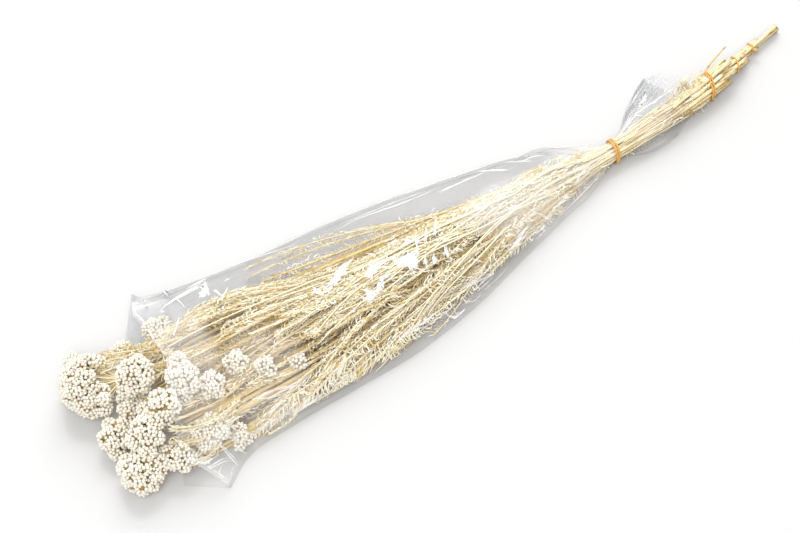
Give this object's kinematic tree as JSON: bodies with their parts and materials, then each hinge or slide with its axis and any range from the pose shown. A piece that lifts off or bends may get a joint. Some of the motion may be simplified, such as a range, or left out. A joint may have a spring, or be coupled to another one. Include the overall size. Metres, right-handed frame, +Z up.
{
  "type": "dried flower bunch",
  "caption": "Bunch of bleached dried rice flower stems with clustered bud heads, gathered by rubber bands and lying in a clear film sleeve.",
  "frame": {"origin": "middle of the bunch's bounding box, on the surface it lies on", "axes": "+X along the bunch from the flower heads to the cut stem ends, +Y across it, +Z up from the surface"},
  "size_m": [0.6736, 0.187, 0.058],
  "materials": {
    "dried_stem": "matt, straw coloured, dried and bleached",
    "dried_bud": "matt, papery, creamy white",
    "clear_film": "clear, glossy, crinkled",
    "amber_rubber": "satin, slightly see-through amber"
  },
  "bodies": {
    "root": {"stem_a": "dried_stem", "stem_b": "dried_stem", "stem_c": "dried_stem", "stem_d": "dried_stem", "stem_e": "dried_stem", "stem_f": "dried_stem", "stem_g": "dried_stem", "stem_h": "dried_stem", "stem_i": "dried_stem", "stem_j": "dried_stem", "stem_k": "dried_stem", "stem_l": "dried_stem", "stem_m": "dried_stem", "stem_n": "dried_stem", "stem_o": "dried_stem", "stem_p": "dried_stem", "stem_q": "dried_stem", "side_shoot_far": "dried_stem", "side_shoot_near": "dried_stem", "head_a": "dried_bud", "head_b": "dried_bud", "head_c": "dried_bud", "head_d": "dried_bud", "head_e": "dried_bud", "head_f": "dried_bud", "head_g": "dried_bud", "head_h": "dried_bud", "head_i": "dried_bud", "head_j": "dried_bud", "head_k": "dried_bud", "head_l": "dried_bud", "head_m": "dried_bud", "head_n": "dried_bud", "head_o": "dried_bud", "head_p": "dried_bud", "head_q": "dried_bud", "film_sleeve": "clear_film", "rubber_band_sleeve": "amber_rubber", "rubber_band_1": "amber_rubber", "rubber_band_2": "amber_rubber", "rubber_band_3": "amber_rubber"}
  },
  "joints": []
}
